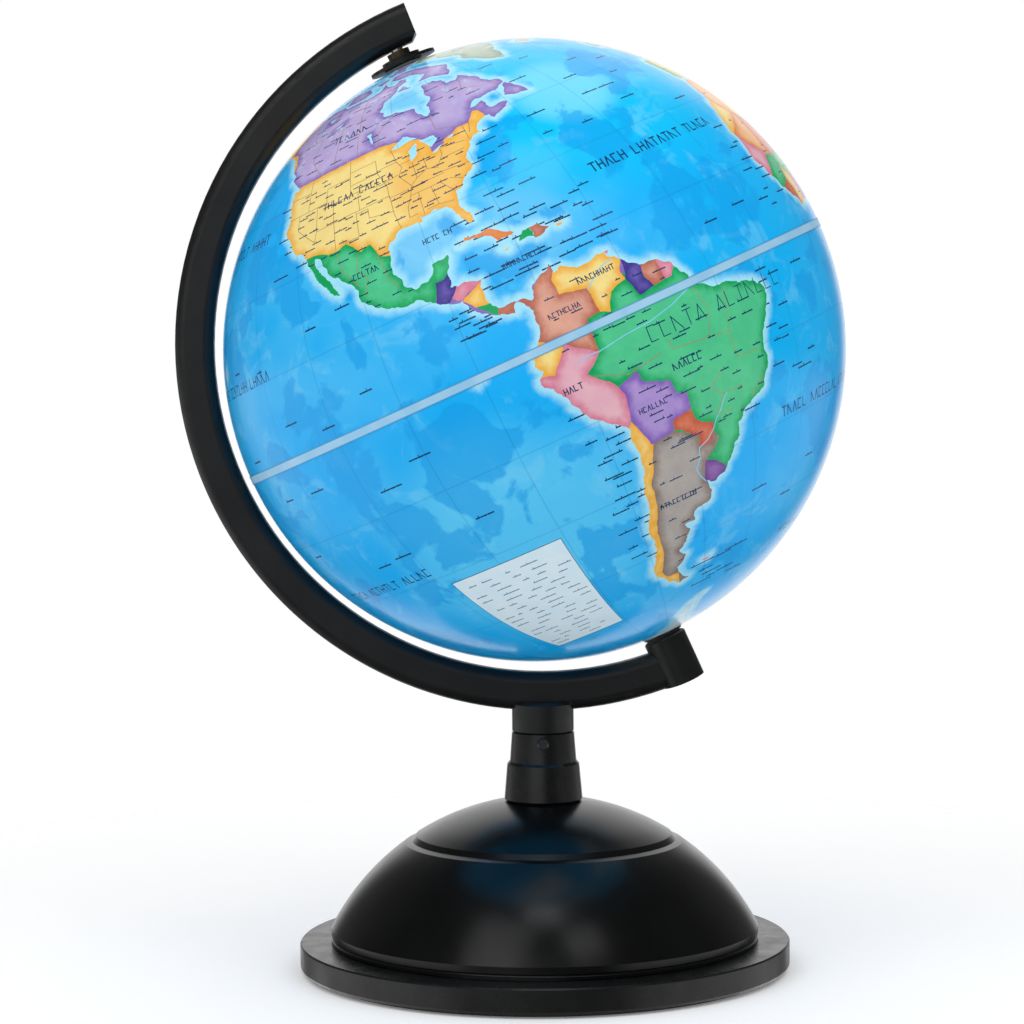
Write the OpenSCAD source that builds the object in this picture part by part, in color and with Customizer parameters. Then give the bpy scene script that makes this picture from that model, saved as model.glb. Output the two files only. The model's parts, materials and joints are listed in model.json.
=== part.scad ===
// Desktop globe: a hollow two-part ball that turns on two short pins, held in a C-shaped
// meridian arm that stands in a post on a weighted, domed base.
// Millimetres, +Z up. The arm lies in the XZ plane and opens towards +X. The origin is the
// centre of the underside, on the axis of the post.

/* [Globe] */
// Diameter of the printed ball
globe_d = 200; // [190:1:210]
// Tilt of the axis from the vertical, north pole towards -X, in degrees
tilt = 24; // [21:0.5:26]
// Height of the ball's centre above the table
globe_z = 200; // [196:0.2:204]
// Distance of the ball's centre from the post's axis
globe_x = -1.75; // [-4:0.25:0]
// Wall of the moulded half shells
shell_wall = 1.4; // [1:0.1:2]
// Width of the tape over the seam at the equator
tape_w = 2.8; // [2:0.1:5]

/* [Meridian arm] */
// Gap between the ball and the arm, at the poles
arm_gap = 5.5; // [5:0.1:7]
// Width of the arm, measured away from the ball
arm_w = 12.5; // [10:0.5:14]
// Thickness of the arm, front to back
arm_t = 10; // [8:0.5:12]
// Radius of the arm's four long edges
arm_edge_r = 3.4; // [1:0.2:3.8]
// How far the arm runs past the north pin, in degrees
arm_overrun = 4.1; // [3.5:0.1:8]
// Chamfer on the inner corner of the arm's free end
arm_chamfer = 2.2; // [1:0.1:3]
// Centre of the arm's arc from the ball's centre, along X
arm_dx = 2.4; // [1.8:0.2:3]
// Centre of the arm's arc from the ball's centre, along Z
arm_dz = 1.9; // [1:0.1:3]
// Diameter of the round boss at the arm's lower end
boss_d = 14; // [12:0.2:15]

/* [Pins and bushes] */
// Diameter of the two steel pins
pin_d = 4; // [3:0.5:5]
// Running clearance around the pins, on the radius
run_gap = 0.06; // [0.03:0.01:0.1]
// Diameter of the bushes' collars on the ball
bush_d = 13; // [12.4:0.2:15]

/* [Time dial] */
// Diameter of the dial
dial_d = 22; // [18:1:26]
// Thickness of the dial's disc
dial_t = 1; // [0.8:0.1:1.2]
// Diameter of the dial's raised hub
dial_hub_d = 12.8; // [11:0.2:14]

/* [Post] */
// Diameter of the arm's foot, above the seam
stem_d = 20; // [18:0.1:20]
// Diameter of the peg that plugs into the neck
peg_d = 14; // [13.6:0.1:14.4]
// Height of the seam between the arm's foot and the neck
seam_z = 76.8; // [76.2:0.1:78]
// Diameter of the collar at its foot
collar_d = 25.4; // [24.4:0.1:28]
// Height of the collar's top edge
collar_top_z = 67.3; // [67:0.1:67.8]
// Diameter of the lock button
button_d = 3.8; // [3:0.1:4]

/* [Base] */
// Diameter of the base
base_d = 159; // [156:1:180]
// Radius of the sphere that the dome is cut from
dome_r = 78.4; // [78:0.1:79]
// Height of the flat seat on top of the dome
dome_seat_z = 54.4; // [54:0.1:54.6]
// Diameter of the dome's foot
foot_d = 138.6; // [137:0.2:139.4]
// Diameter of the step around the dome's crown
step_d = 83; // [78:1:86]
// Height of the flange's top face
flange_top_z = 9.4; // [9:0.1:10.4]
// Thickness of the felt pad under the base
pad_t = 1.2; // [1:0.1:1.6]

/* [Hidden] */
$fn = 128;

// Ball, measured out from its centre
globe_r = globe_d / 2;
film_t = 0.3;
film_r = globe_r - 0.1;
shell_r = film_r - film_t;
shell_in_r = shell_r - shell_wall;
pole_hole_r = 5;
joiner_h = 16;
joiner_t = 1.6;
tape_t = 0.12;

// Arm: its arc's centre, and the pole axis from that centre
arm_in_r = globe_r + arm_gap;
arm_out_r = arm_in_r + arm_w;
arm_x = globe_x + arm_dx;
arm_z = globe_z + arm_dz;
axis_shift = arm_dx * sin(tilt) - arm_dz * cos(tilt);
arm_mid_r = arm_in_r + arm_w / 2;
arm_turn = asin((arm_dx * cos(tilt) + arm_dz * sin(tilt)) / arm_mid_r);
arm_start = 90 + tilt + arm_turn - arm_overrun;
arm_end = 270 + tilt - arm_turn;

// Pins, bushes and dial, by distance from the ball's centre along the axis
pin_r = pin_d / 2;
pin_in = globe_r - 3.5;
seat_gap = 0.02;
bush_collar_t = 0.5;
bush_r = pole_hole_r - 0.05;
bush_lip_r = 6.2;
bush_in = globe_r - 5;
dial_neck_r = 4.2;
dial_base = globe_r + 0.8;
dial_hub_h = 1.5;
dial_top = dial_base + dial_t + dial_hub_h;
spacer_r = 3.7;
boss_face = globe_r + 1.3;
washer_t = 0.5;
north_pin_out = globe_r + arm_gap + 7;
south_pin_out = globe_r + 12;

// Post
peg_r = peg_d / 2;
peg_gap = 0.1;
peg_bottom_z = 56.5;
peg_cavity_w = 8.6;
stem_top_z = arm_z - arm_out_r + 3.2;
neck_top_r = 10.1;
neck_bottom_r = 10.8;
tail_r = 8;
tail_bottom_z = 42;
button_r = button_d / 2;
button_z = seam_z - 2.8;
button_head_r = 3.2;
button_proud = 0.8;
spring_t = 0.4;
nut_af = 24;
nut_h = 6;

// Base
dome_centre_z = -22.9;
dome_wall = 2.2;
dome_in_r = dome_r - dome_wall;
crown_under_z = dome_seat_z - 2.6;
step_r = step_d / 2;
base_r = base_d / 2;
foot_r = foot_d / 2;
skirt_wall = 2.6;
plate_t = 2.6;
register_r = 66.4;
cover_t = 3;
cover_r = base_r - skirt_wall - 0.2;
cover_top_z = pad_t + cover_t;
tower_pcd = 100;
tower_r = 3.6;
screw_r = 1.45;
screw_head_r = 2.9;

// Height of the dome's sphere at a distance from its axis
function dome_z(r) = dome_centre_z + sqrt(dome_r * dome_r - r * r);

// Places its children on the pole axis: +Z is north, the origin is the ball's centre
module on_axis() {
  translate([globe_x, 0, globe_z]) rotate([0, -tilt, 0]) children();
}

// The same, with +Z pointing south
module on_south_axis() {
  on_axis() rotate([180, 0, 0]) children();
}

// Places its children at the four screw positions of the base
module at_screws() {
  for (a = [45:90:315]) rotate([0, 0, a]) translate([tower_pcd / 2, 0, 0]) children();
}

module tube(r_out, r_in, h) {
  difference() {
    cylinder(r = r_out, h = h);
    translate([0, 0, -1]) cylinder(r = r_in, h = h + 2);
  }
}

// Half of a hollow ball, above its equator, with a round hole at the pole
module half_ball(r_out, r_in) {
  difference() {
    sphere(r = r_out);
    sphere(r = r_in);
    translate([0, 0, -globe_r]) cube([3 * globe_r, 3 * globe_r, 2 * globe_r], center = true);
    cylinder(r = pole_hole_r, h = 2 * globe_r);
  }
}

// Rectangle with round corners, centred
module rounded_rect(w, h, r) {
  square([w - 2 * r, h], center = true);
  square([w, h - 2 * r], center = true);
  for (x = [-1, 1], y = [-1, 1]) translate([x * (w / 2 - r), y * (h / 2 - r)]) circle(r = r);
}

// ---- Ball ----

module north_shell() {
  color("white") on_axis() half_ball(shell_r, shell_in_r);
}

module south_shell() {
  color("white") on_south_axis() half_ball(shell_r, shell_in_r);
}

module north_map_film() {
  color("deepskyblue") on_axis() half_ball(film_r, shell_r);
}

module south_map_film() {
  color("deepskyblue") on_south_axis() half_ball(film_r, shell_r);
}

// Ring glued inside both shells across their seam
module equator_joiner() {
  ring_r = sqrt(shell_in_r * shell_in_r - joiner_h * joiner_h / 4) - 0.1;
  color("gainsboro") on_axis() translate([0, 0, -joiner_h / 2])
    tube(ring_r, ring_r - joiner_t, joiner_h);
}

module equator_tape() {
  color("silver") on_axis() translate([0, 0, -tape_w / 2])
    tube(film_r + tape_t, film_r + 0.01, tape_w);
}

// Snap-in bush at a pole: a collar outside the ball, a lip inside, a bore for the pin
module bush_body() {
  translate([0, 0, bush_in + 1.6]) cylinder(r = bush_r, h = globe_r - bush_in - 1.6);
  translate([0, 0, bush_in]) cylinder(r1 = bush_r, r2 = bush_lip_r, h = 0.8);
  translate([0, 0, bush_in + 0.8]) cylinder(r = bush_lip_r, h = 0.8);
  translate([0, 0, globe_r]) cylinder(r = bush_d / 2, h = bush_collar_t);
}

module north_bush() {
  color("ivory") on_axis() difference() {
    union() {
      bush_body();
      translate([0, 0, globe_r]) cylinder(r = dial_neck_r, h = dial_top - globe_r - 0.4);
    }
    translate([0, 0, bush_in - 1]) cylinder(r = pin_r + run_gap, h = 20);
  }
}

module south_bush() {
  color("#1c1c1d") on_south_axis() difference() {
    bush_body();
    translate([0, 0, bush_in - 1]) cylinder(r = pin_r + run_gap, h = 20);
  }
}

// ---- Time dial ----

// Disc with a raised hub and 24 hour notches, loose on the north bush
module time_dial() {
  color("black") on_axis() translate([0, 0, dial_base]) difference() {
    union() {
      cylinder(r = dial_d / 2, h = dial_t);
      translate([0, 0, dial_t]) cylinder(r = dial_hub_d / 2, h = dial_hub_h);
    }
    translate([0, 0, -1]) cylinder(r = dial_neck_r + run_gap, h = 20);
    for (hour = [0:23])
      rotate([0, 0, hour * 15]) translate([dial_d / 2 - 1.6, 0, dial_t - 0.3])
        translate([0, -0.2, 0]) cube([3, 0.4, 1]);
  }
}

// ---- Arm and pins ----

// Places its children in the arm's plane, with the centre of its arc as the origin
module in_arm_plane() {
  translate([arm_x, 0, arm_z]) rotate([90, 0, 0]) children();
}

module arm_arc() {
  in_arm_plane() rotate_extrude(start = arm_start, angle = arm_end - arm_start)
    translate([arm_mid_r, 0]) rounded_rect(arm_w, arm_t, arm_edge_r);
}

// Cut across the inner corner of the arm's free end
module end_chamfer() {
  side = arm_chamfer * sqrt(2);
  in_arm_plane() rotate([0, 0, arm_start]) translate([arm_in_r, 0, 0]) rotate([0, 0, 45])
    cube([side, side, 2 * arm_t], center = true);
}

// Round boss on the pole axis, cut flush with the outside of the arm
module arm_boss() {
  intersection() {
    on_south_axis() {
      translate([0, 0, boss_face]) cylinder(r1 = boss_d / 2 - 0.5, r2 = boss_d / 2, h = 0.5);
      translate([0, 0, boss_face + 0.5]) cylinder(r = boss_d / 2, h = 20);
    }
    in_arm_plane() cylinder(r = arm_out_r, h = 40, center = true);
  }
}

// Foot of the arm, with the peg that plugs into the neck
module arm_foot() {
  translate([0, 0, seam_z + 0.6]) cylinder(r = stem_d / 2, h = stem_top_z - seam_z - 1.6);
  translate([0, 0, seam_z]) cylinder(r1 = stem_d / 2 - 0.6, r2 = stem_d / 2, h = 0.6);
  translate([0, 0, stem_top_z - 1]) cylinder(r1 = stem_d / 2, r2 = stem_d / 2 - 1, h = 1);
  translate([0, 0, peg_bottom_z]) cylinder(r = peg_r, h = seam_z - peg_bottom_z + 1);
}

// Hole for the lock button, through the front wall only
module button_hole() {
  translate([0, -20, button_z]) rotate([-90, 0, 0])
    cylinder(r = button_r + run_gap, h = 20 - peg_cavity_w / 2 + 0.5);
}

// Blind seat for a pin, from the ball's surface outwards
module pin_seat(outer_end) {
  translate([0, 0, globe_r]) cylinder(r = pin_r + seat_gap, h = outer_end - globe_r);
}

module meridian_arm() {
  color("#1c1c1e") difference() {
    union() {
      arm_arc();
      arm_boss();
      arm_foot();
    }
    end_chamfer();
    on_axis() pin_seat(north_pin_out);
    on_south_axis() pin_seat(south_pin_out);
    translate([-peg_cavity_w / 2, -peg_cavity_w / 2, peg_bottom_z - 1])
      cube([peg_cavity_w, peg_cavity_w, seam_z - peg_bottom_z + 3]);
    button_hole();
  }
}

// Steel pin from its inner end in the bush to its blind seat in the arm
module axle_pin(outer_end) {
  translate([0, 0, pin_in + 0.5]) cylinder(r = pin_r, h = outer_end - pin_in - 0.5);
  translate([0, 0, pin_in]) cylinder(r1 = pin_r - 0.5, r2 = pin_r, h = 0.5);
}

module north_pin() {
  color("silver") on_axis() axle_pin(north_pin_out);
}

// Sleeve on the north pin that keeps the ball down, from the bush's neck to the arm
module pin_spacer() {
  bottom = dial_top - 0.25;
  color("dimgray") on_axis() translate([0, 0, bottom])
    tube(spacer_r, pin_r + seat_gap, arm_in_r - 0.1 - bottom);
}

module south_pin() {
  color("silver") on_south_axis() axle_pin(south_pin_out);
}

module thrust_washer() {
  color("#1c1c1d") on_south_axis() translate([0, 0, boss_face - washer_t])
    tube(bush_d / 2 - 0.7, pin_r + seat_gap, washer_t);
}

// ---- Post ----

// Button that snaps out through the neck and holds the peg
module lock_button() {
  face_y = -neck_bottom_r - button_proud;
  head_y = -peg_cavity_w / 2 + 0.1;
  color("dimgray") translate([0, face_y, button_z]) rotate([-90, 0, 0]) {
    cylinder(r1 = button_r - 0.5, r2 = button_r, h = 0.5);
    translate([0, 0, 0.5]) cylinder(r = button_r, h = head_y - face_y - 0.5);
    translate([0, 0, head_y - face_y]) cylinder(r = button_head_r, h = 0.8);
  }
}

// Bent leaf spring behind the button's head
module lock_spring() {
  front_y = -peg_cavity_w / 2 + 0.9;
  depth = 4.4;
  low = 8;
  color("silver") translate([-2, front_y, button_z]) {
    translate([0, 0, -low]) cube([4, spring_t, low + 2.6]);
    translate([0, 0, -low - spring_t]) cube([4, depth, spring_t]);
    translate([0, depth - spring_t, -low]) cube([4, spring_t, low - 1]);
  }
}

// Flared sleeve and threaded tail in one moulding, bored for the peg
module neck() {
  color("#202022") difference() {
    union() {
      translate([0, 0, collar_top_z])
        cylinder(r1 = neck_bottom_r, r2 = neck_top_r, h = seam_z - collar_top_z);
      translate([0, 0, tail_bottom_z]) cylinder(r = tail_r, h = collar_top_z - tail_bottom_z + 1);
    }
    translate([0, 0, peg_bottom_z - 0.5]) cylinder(r = peg_r + peg_gap, h = 40);
    button_hole();
  }
}

module collar() {
  top_r = 11.7;
  edge = 0.8;
  color("#1e1e20") difference() {
    union() {
      translate([0, 0, dome_seat_z]) cylinder(r1 = collar_d / 2 - edge, r2 = collar_d / 2, h = edge);
      translate([0, 0, dome_seat_z + edge])
        cylinder(r1 = collar_d / 2, r2 = top_r, h = collar_top_z - dome_seat_z - 2 * edge);
      translate([0, 0, collar_top_z - edge]) cylinder(r1 = top_r, r2 = top_r - 0.6, h = edge);
    }
    translate([0, 0, dome_seat_z - 1]) cylinder(r = tail_r + peg_gap, h = 40);
  }
}

module neck_washer() {
  color("silver") translate([0, 0, crown_under_z - 1.2]) tube(13.5, tail_r + 0.3, 1.2);
}

module neck_nut() {
  color("black") translate([0, 0, crown_under_z - 1.2 - nut_h]) difference() {
    cylinder(r = nut_af / sqrt(3), h = nut_h, $fn = 6);
    translate([0, 0, -1]) cylinder(r = tail_r + 0.05, h = nut_h + 2);
  }
}

// ---- Base ----

// Outline of the dome's wall, with a step around its crown and a bead at its foot
module dome_profile() {
  foot_z = flange_top_z;
  difference() {
    intersection() {
      translate([0, dome_centre_z]) circle(r = dome_r);
      translate([0, foot_z]) square([foot_r, dome_seat_z - foot_z]);
    }
    intersection() {
      translate([0, dome_centre_z]) circle(r = dome_in_r);
      translate([0, -1]) square([register_r - 1.6, crown_under_z + 1]);
    }
    polygon([[step_r, dome_z(step_r) + 1], [step_r, dome_z(step_r)],
             [step_r + 1.4, dome_z(step_r) - 1.7], [step_r + 3.6, dome_z(step_r + 3.6)],
             [step_r + 3.6, dome_z(step_r) + 1]]);
    translate([foot_r + 0.25, foot_z + 1.7]) circle(r = 0.55);
    translate([foot_r - 1, foot_z - 1]) square([3, 1.4]);
  }
}

// Four posts under the dome, cut off inside its wall
module screw_towers() {
  intersection() {
    at_screws() translate([0, 0, cover_top_z]) cylinder(r = tower_r, h = dome_r);
    translate([0, 0, dome_centre_z]) sphere(r = dome_r - dome_wall / 2);
  }
}

module base_dome() {
  color("#19191b") difference() {
    union() {
      rotate_extrude() dome_profile();
      translate([0, 0, flange_top_z - plate_t]) tube(register_r, register_r - 1.6, plate_t + 1);
      screw_towers();
    }
    translate([0, 0, crown_under_z - 1]) cylinder(r = tail_r + 0.2, h = 20);
    at_screws() translate([0, 0, cover_top_z - 1]) cylinder(r = screw_r + 0.02, h = 14);
  }
}

// Ring under the dome's foot: a top plate with a skirt around it
module base_flange() {
  color("#222224") rotate_extrude() difference() {
    translate([register_r + 0.1, pad_t]) square([base_r - register_r - 0.1, flange_top_z - pad_t]);
    translate([register_r - 1, pad_t - 1])
      square([base_r - skirt_wall - register_r + 1, flange_top_z - pad_t - plate_t + 1]);
    translate([base_r, flange_top_z]) rotate(45) square(0.7, center = true);
    translate([base_r, pad_t]) rotate(45) square(1.4, center = true);
  }
}

module ballast_plate() {
  color("slategray") translate([0, 0, cover_top_z]) difference() {
    tube(60, 14, 3.6);
    at_screws() translate([0, 0, -1]) cylinder(r = tower_r + 0.4, h = 6);
  }
}

// Disc that closes the base, with a rib that holds the flange up
module bottom_cover() {
  color("#2a2a2c") difference() {
    union() {
      translate([0, 0, pad_t]) cylinder(r = cover_r, h = cover_t);
      translate([0, 0, cover_top_z])
        tube(register_r + 4, register_r + 2, flange_top_z - plate_t - cover_top_z);
    }
    at_screws() {
      translate([0, 0, pad_t - 1]) cylinder(r = screw_r + 0.15, h = 10);
      translate([0, 0, pad_t - 1]) cylinder(r = screw_head_r + 0.3, h = 2.8);
    }
  }
}

// Four self-tapping screws, up through the cover into the dome's towers
module cover_screws() {
  color("silver") at_screws() translate([0, 0, pad_t + 0.2]) difference() {
    union() {
      cylinder(r = screw_head_r, h = 1.6);
      translate([0, 0, 1.6]) cylinder(r = screw_r, h = 11);
      translate([0, 0, 12.6]) cylinder(r1 = screw_r, r2 = 0.4, h = 1.2);
    }
    for (a = [0, 90]) rotate([0, 0, a]) translate([-1.6, -0.3, -1]) cube([3.2, 0.6, 1.8]);
  }
}

module felt_pad() {
  color("dimgray") cylinder(r = cover_r - 1.2, h = pad_t);
}

north_shell();
south_shell();
north_map_film();
south_map_film();
equator_joiner();
equator_tape();
north_bush();
south_bush();
time_dial();
meridian_arm();
north_pin();
pin_spacer();
south_pin();
thrust_washer();
lock_button();
lock_spring();
neck();
collar();
neck_washer();
neck_nut();
base_dome();
base_flange();
ballast_plate();
bottom_cover();
cover_screws();
felt_pad();
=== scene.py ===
"""Desktop globe on a stand: the printed map, the finishes, the studio and the camera.

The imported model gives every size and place. The map is drawn here from outlines in degrees of
longitude and latitude, as two closed skins that stand for the two plain map films.
"""

import json
import math
import random

import bpy
import numpy as np
from mathutils import Matrix, Vector, kdtree
from mathutils.geometry import delaunay_2d_cdt

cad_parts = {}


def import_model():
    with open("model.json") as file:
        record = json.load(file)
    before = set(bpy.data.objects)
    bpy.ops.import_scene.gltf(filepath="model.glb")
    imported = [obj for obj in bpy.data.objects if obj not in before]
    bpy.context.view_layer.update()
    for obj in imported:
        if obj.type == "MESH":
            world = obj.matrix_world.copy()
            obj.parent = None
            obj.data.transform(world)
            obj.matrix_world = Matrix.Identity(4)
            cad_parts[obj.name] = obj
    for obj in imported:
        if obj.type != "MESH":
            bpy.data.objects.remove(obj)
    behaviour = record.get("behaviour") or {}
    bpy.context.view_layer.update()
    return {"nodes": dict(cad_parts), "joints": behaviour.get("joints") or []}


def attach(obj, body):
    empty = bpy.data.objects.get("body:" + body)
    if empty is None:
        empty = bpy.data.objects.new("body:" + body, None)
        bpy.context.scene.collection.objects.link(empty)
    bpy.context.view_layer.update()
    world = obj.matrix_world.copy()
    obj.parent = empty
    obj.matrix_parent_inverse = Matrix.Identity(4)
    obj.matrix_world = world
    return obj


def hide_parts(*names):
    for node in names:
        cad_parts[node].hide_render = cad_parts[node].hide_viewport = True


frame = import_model()

MM = 0.001
SPIN = next(j for j in frame["joints"] if j["name"] == "globe_spin")
CENTRE = np.array(SPIN["pos_m"], float)
NORTH = np.array(SPIN["axis"], float)
NORTH /= np.linalg.norm(NORTH)
FRONT = np.array([0.0, -1.0, 0.0])
EAST = np.cross(NORTH, FRONT)

# ---- Map data, in degrees: longitude and latitude pairs ----
# In a list of entries a line that ends in a comma goes on in the next one.

FACING_LON = -80.3  # the meridian that faces the camera when the ball is at rest

# Colours of the print: paler inside a region, deeper along its edge
PALETTE = {
    "y": ("#eed485", "#e9a63c"), "o": ("#eeb079", "#d97a42"), "g": ("#49be88", "#0f9a56"),
    "v": ("#a289cc", "#7757b0"), "p": ("#dea8b9", "#d0748e"), "s": ("#d49a88", "#ae6351"),
    "r": ("#d57a5c", "#b94d38"), "b": ("#a19c99", "#80706a"), "u": ("#685bb0", "#3b3484"),
    "m": ("#8c65ac", "#653e88"), "w": ("#cfe8f4", "#93cdea"), "e": ("#a9b8a6", "#829a83"),
    "c": ("#ae9fd2", "#7c66b2"),
}
SEA = ("#10acf6", "#a0e0f8")
INK, PALE_INK, LINE_INK, WATER_INK = "#12365c", "#5d7288", "#9b7a52", "#78c6ee"
PANEL_INK, PANEL_EDGE = "#d2eaf6", "#3f5f80"

# Land: colour key, what its countries come from (new, old or none), outline
LAND = {
    "americas": ("c", "new", """-168 65.5,-162 66.5,-166 68.3,-156.5 71.3,-141 69.7,-135 69,-128 70,
-120 69.5,-114 68,-108 68,-101 67.8,-96 68.2,-94 71.5,-92 69.5,-88 68,-85 69.5,-82 69,-82 67,-86 66.3,
-88 64,-93 62,-94.5 59.5,-93 58.7,-92.5 57,-88 56.5,-82.5 55.2,-82 53,-80 51.3,-79 52,-79 54.5,-77 56,
-78 58.5,-77.5 62.3,-73 62.2,-70 61,-69.5 59,-66 58.7,-64.5 60.2,-62 58,-60 55.5,-56 53,-56 51.7,
-60 50.2,-66 50.2,-69 48.5,-65 49.1,-65 47.5,-64 46.2,-60 46.2,-61 45.3,-65.5 43.5,-66 44.8,-67 44.8,
-70 43.7,-70.7 42,-70 41.7,-74 40.6,-74 39.5,-75.5 38.5,-76 37,-75.7 35.3,-78 33.9,-81 31.9,-81.3 30,
-80.1 27,-80.3 25.3,-81.2 25.2,-82.7 27.8,-83 29.1,-84.3 30,-86 30.4,-89.5 30.2,-89.3 29.1,-91.5 29.4,
-94.5 29.5,-97.2 27.7,-97.4 25.5,-97.8 22.3,-96.2 19.3,-94.5 18.2,-92 18.6,-90.6 19.8,-90.3 21.1,
-87 21.5,-87.5 19.5,-88.3 18.3,-88.7 16,-86 15.9,-83.3 15,-83.7 12.5,-83.7 11,-82.5 9.4,-80 9.3,
-77.4 8.6,-76.8 8.2,-75.6 10.6,-74.3 11.2,-71.7 12.4,-71.5 10.9,-70 11.6,-68.2 10.6,-64.8 10.2,
-62 10.7,-61.5 9.5,-60 8.5,-57.3 6.2,-54 5.9,-51.6 4.2,-50 1.7,-50 0,-48.4 -0.9,-44.5 -2.5,-41.5 -2.9,
-38.5 -3.7,-35.3 -5.3,-34.8 -7.5,-36.5 -10.6,-38.5 -13,-39 -16.5,-39.7 -19.5,-41 -22,-43.5 -23,
-46.5 -24.2,-48.6 -26,-48.8 -28.5,-51 -31,-53.5 -34,-56 -34.9,-58.2 -34,-57.2 -36.5,-57.7 -38,-62 -39,
-62.3 -41,-65 -41,-63.8 -42.5,-65.5 -45,-67.5 -46.3,-65.9 -48,-68.8 -50.5,-68.4 -52.3,-65.2 -54.7,
-68.5 -55.5,-72 -53.8,-74.5 -51,-75.3 -48.5,-74 -45,-73 -42,-73.5 -39.5,-73 -37,-71.6 -33,-71.4 -30,
-70.5 -25.5,-70.2 -19,-71.5 -17.5,-76 -14,-77 -12,-79 -8,-81 -6,-81.2 -4.5,-80 -3.3,-81 -2.2,-80 0.2,
-78.8 1.4,-77.5 3.8,-77.3 6.5,-78.2 8.2,-79.5 9,-80.3 7.4,-82.7 8.2,-83.7 8.6,-85.7 10,-87.7 13,
-91.5 14,-94.5 16.2,-98 16.3,-102 18,-105.5 20.3,-105.5 22.5,-108 25,-109.5 26.5,-112.5 29.5,
-113.2 31.3,-114.8 31.7,-114.5 30,-112.8 28,-111.3 26,-110.3 24.3,-109.5 23.1,-110.2 23.3,-112.1 25,
-114.2 27.1,-115.8 30.2,-117.1 32.5,-118.5 34,-120.6 34.6,-122.5 37.5,-124.3 40.4,-124 44,-124.6 48.3,
-122.5 48,-123.2 49.2,-127.5 51.5,-130.3 54.5,-134 58,-139.5 59.7,-146 60.8,-149 60,-151.5 61,
-154 58.8,-158 56.3,-163.5 54.8,-160.5 56,-157.3 58.7,-162 58.7,-165.5 61.2,-164.8 63,-161 64.5,
-166 64.5"""),
    "africa": ("y", "old", """-6 35.8,-2 35.2,3 36.9,10 37.3,11 34,15 32.3,19 30.3,20 32.5,23 32.7,29 31,
32.3 31.2,33.5 28,35.7 24,37.2 21,39.5 15.3,43 11.8,51.2 11.9,49 6.5,45 2,41.5 -1.7,39.2 -5,
40.6 -10.7,40.6 -15.5,35 -20,35.5 -24,32.8 -26.5,32.2 -28.8,29 -32.5,25.7 -34,20 -34.8,18.3 -33.5,
17 -29.5,14.5 -23,11.8 -17.5,13.5 -12,12.2 -6,9 -1,9.7 3,8.5 4.6,6 4.3,4 6.4,-2 4.8,-7.7 4.4,-13 8.3,
-15 11,-17.4 14.7,-16.3 19,-17 21.5,-13 27.7,-9.8 30.5,-9 32.7"""),
    "eurasia": ("g", "old", """-9 37,-9 43.2,-1.6 43.4,-1.2 46,-4.7 48.4,1.8 50.8,4.5 52.5,8.5 54,8.2 57,
10.6 57.7,10 55,11 54,14.2 54,19 54.4,21 56,24 57.3,24 59.4,30 60,25 60.2,22 60.8,21.5 63,25.3 65.3,
22 65.8,17.3 62,17 58.8,14.5 55.6,12.8 56,11 59,6 58.2,5 61,10 64,15 68.3,20 70,28 71,40 67.8,41 66.8,
33 66.7,38 64,44 66.2,44 68.5,54 68.3,60 69,68 68.5,68 72.5,73 71.5,80 73,98 76,104 77.6,113 74,
127 73,140 72.5,160 70,170 69.8,180 69,190 66.2,182 65,179 62.5,170 60,163 58,162 56,156.7 51,156 57,
163 61.5,155 59.3,143 59.3,135.5 54.7,141 53,140 48.5,135 43.5,130.5 42.5,127.5 39.5,129.5 36,
126.4 34.5,126.6 37.5,125 39.7,121.3 39,121 40.8,118 39,119 37.3,122.5 37.2,119.3 35,121.8 31.5,
121.5 28.5,117 23.5,110.5 21.2,108.3 21.6,106 19,109.3 13,107 10.5,105 8.7,105 10.5,100.4 13.5,
99.3 10.5,103.5 4.5,104 1.4,101.3 3,98.3 8,98.7 12,97.5 16.5,94.3 16,91.8 22.5,87 21.5,82 16.7,
80.2 13.2,79.8 10.3,77.5 8.1,76.2 10.5,73 17,72.6 21.3,70.3 21,67 24.9,61.5 25.2,57 26.8,51.5 27.8,
48.5 30.3,51 25,54 24.2,56.3 26.2,59.8 22.5,57.8 19,52 15.6,45 12.8,43 13,42.5 16.7,39 21.3,35 28,
34.9 29.5,32.5 30,34.3 31.3,35.9 35.5,36 36.8,30.5 36.5,27.3 37,26.3 39.3,29 41,33 42,38 41,41.6 41.6,
37.5 44.7,39 47.2,35 46.2,33.5 44.5,32.5 46,29.7 45.2,28 42,29 41.1,26 40.7,23.5 40.3,24 38,22.5 36.5,
21.3 38.3,19.5 41.5,15 44,13.6 45.6,12.3 45.3,13.5 43.6,18.5 40.1,16 38,15.5 40,10.3 43.9,7.5 43.8,
3.1 43.2,3.2 41.9,-0.3 39.3,-2 36.8,-5.6 36"""),
    "antarctica": ("w", "none", """-57 -63.3,-62 -67,-61 -73,-60 -76,-40 -78,-28 -76.5,-15 -73,0 -70,
15 -69.5,35 -69,50 -67,60 -67.3,70 -70,80 -68,95 -66.5,110 -66.3,130 -66.3,145 -67,160 -70,170 -72,
165 -77.5,180 -79,200 -80,235 -80,262 -79.5,280 -77.5,288 -73,292 -68,296 -65"""),
}

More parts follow.
